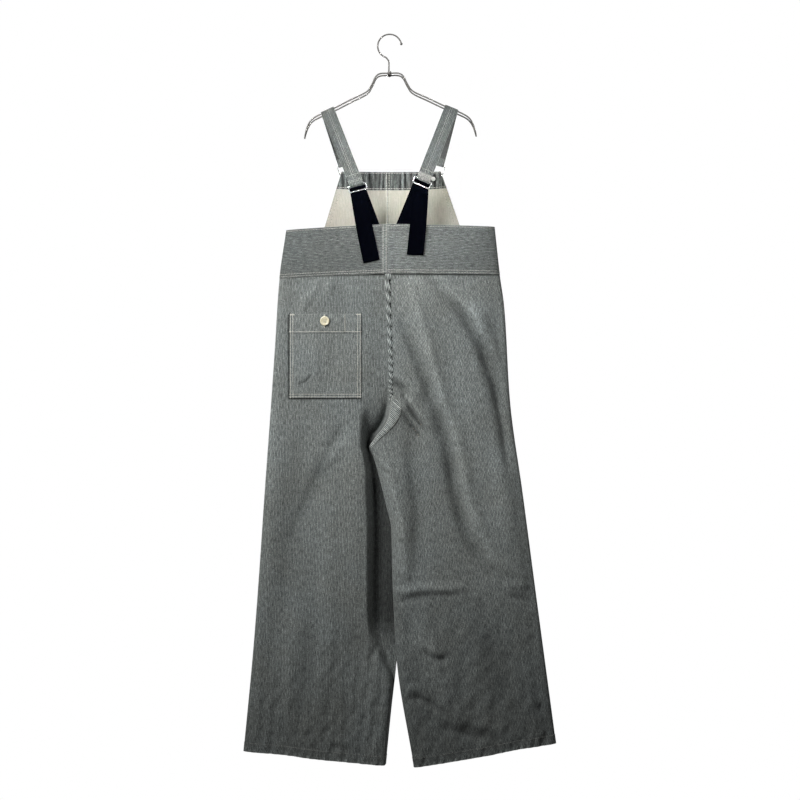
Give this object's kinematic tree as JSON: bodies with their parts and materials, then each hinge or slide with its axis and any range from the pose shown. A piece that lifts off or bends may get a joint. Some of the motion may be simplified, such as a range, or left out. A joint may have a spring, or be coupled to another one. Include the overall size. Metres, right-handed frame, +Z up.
{
  "type": "dungarees on a hanger",
  "caption": "Wide-leg hickory-stripe denim dungarees hanging by their straps from a double-wire hanger: yoke, bib, buttoned seat pocket, and webbing through slides.",
  "frame": {"origin": "inside of the hanger hook's crown, where the rail carries it", "axes": "+Z up; +Y towards the garment's back; +X towards the wearer's left"},
  "size_m": [0.6446, 0.0658, 1.5092],
  "materials": {
    "denim": "matte hickory-stripe denim, fine off-white and blue-grey stripes, cream reverse",
    "webbing": "matte black webbing",
    "silver": "polished silver-coloured wire and caps",
    "steel": "satin grey hanger wire",
    "button": "cream four-hole button"
  },
  "bodies": {
    "root": {"back_leg_left_top": "denim", "back_leg_left_middle": "denim", "back_leg_left_foot": "denim", "back_leg_right_top": "denim", "back_leg_right_middle": "denim", "back_leg_right_foot": "denim", "front_leg_left_top": "denim", "front_leg_left_middle": "denim", "front_leg_left_foot": "denim", "front_leg_right_top": "denim", "front_leg_right_middle": "denim", "front_leg_right_foot": "denim", "back_yoke_left": "denim", "back_yoke_right": "denim", "front_waistband_left": "denim", "front_waistband_right": "denim", "bib_left": "denim", "bib_right": "denim", "bib_facing": "denim", "back_pocket": "denim", "strap_left": "denim", "strap_right": "denim", "webbing_left": "webbing", "webbing_right": "webbing", "slide_left": "silver", "slide_right": "silver", "buckle_left": "silver", "buckle_right": "silver", "bib_button_left": "silver", "bib_button_right": "silver", "bib_rivet_left": "silver", "bib_rivet_right": "silver", "pocket_button": "button", "hanger_frame": "steel", "hanger_hook": "steel"}
  },
  "joints": []
}
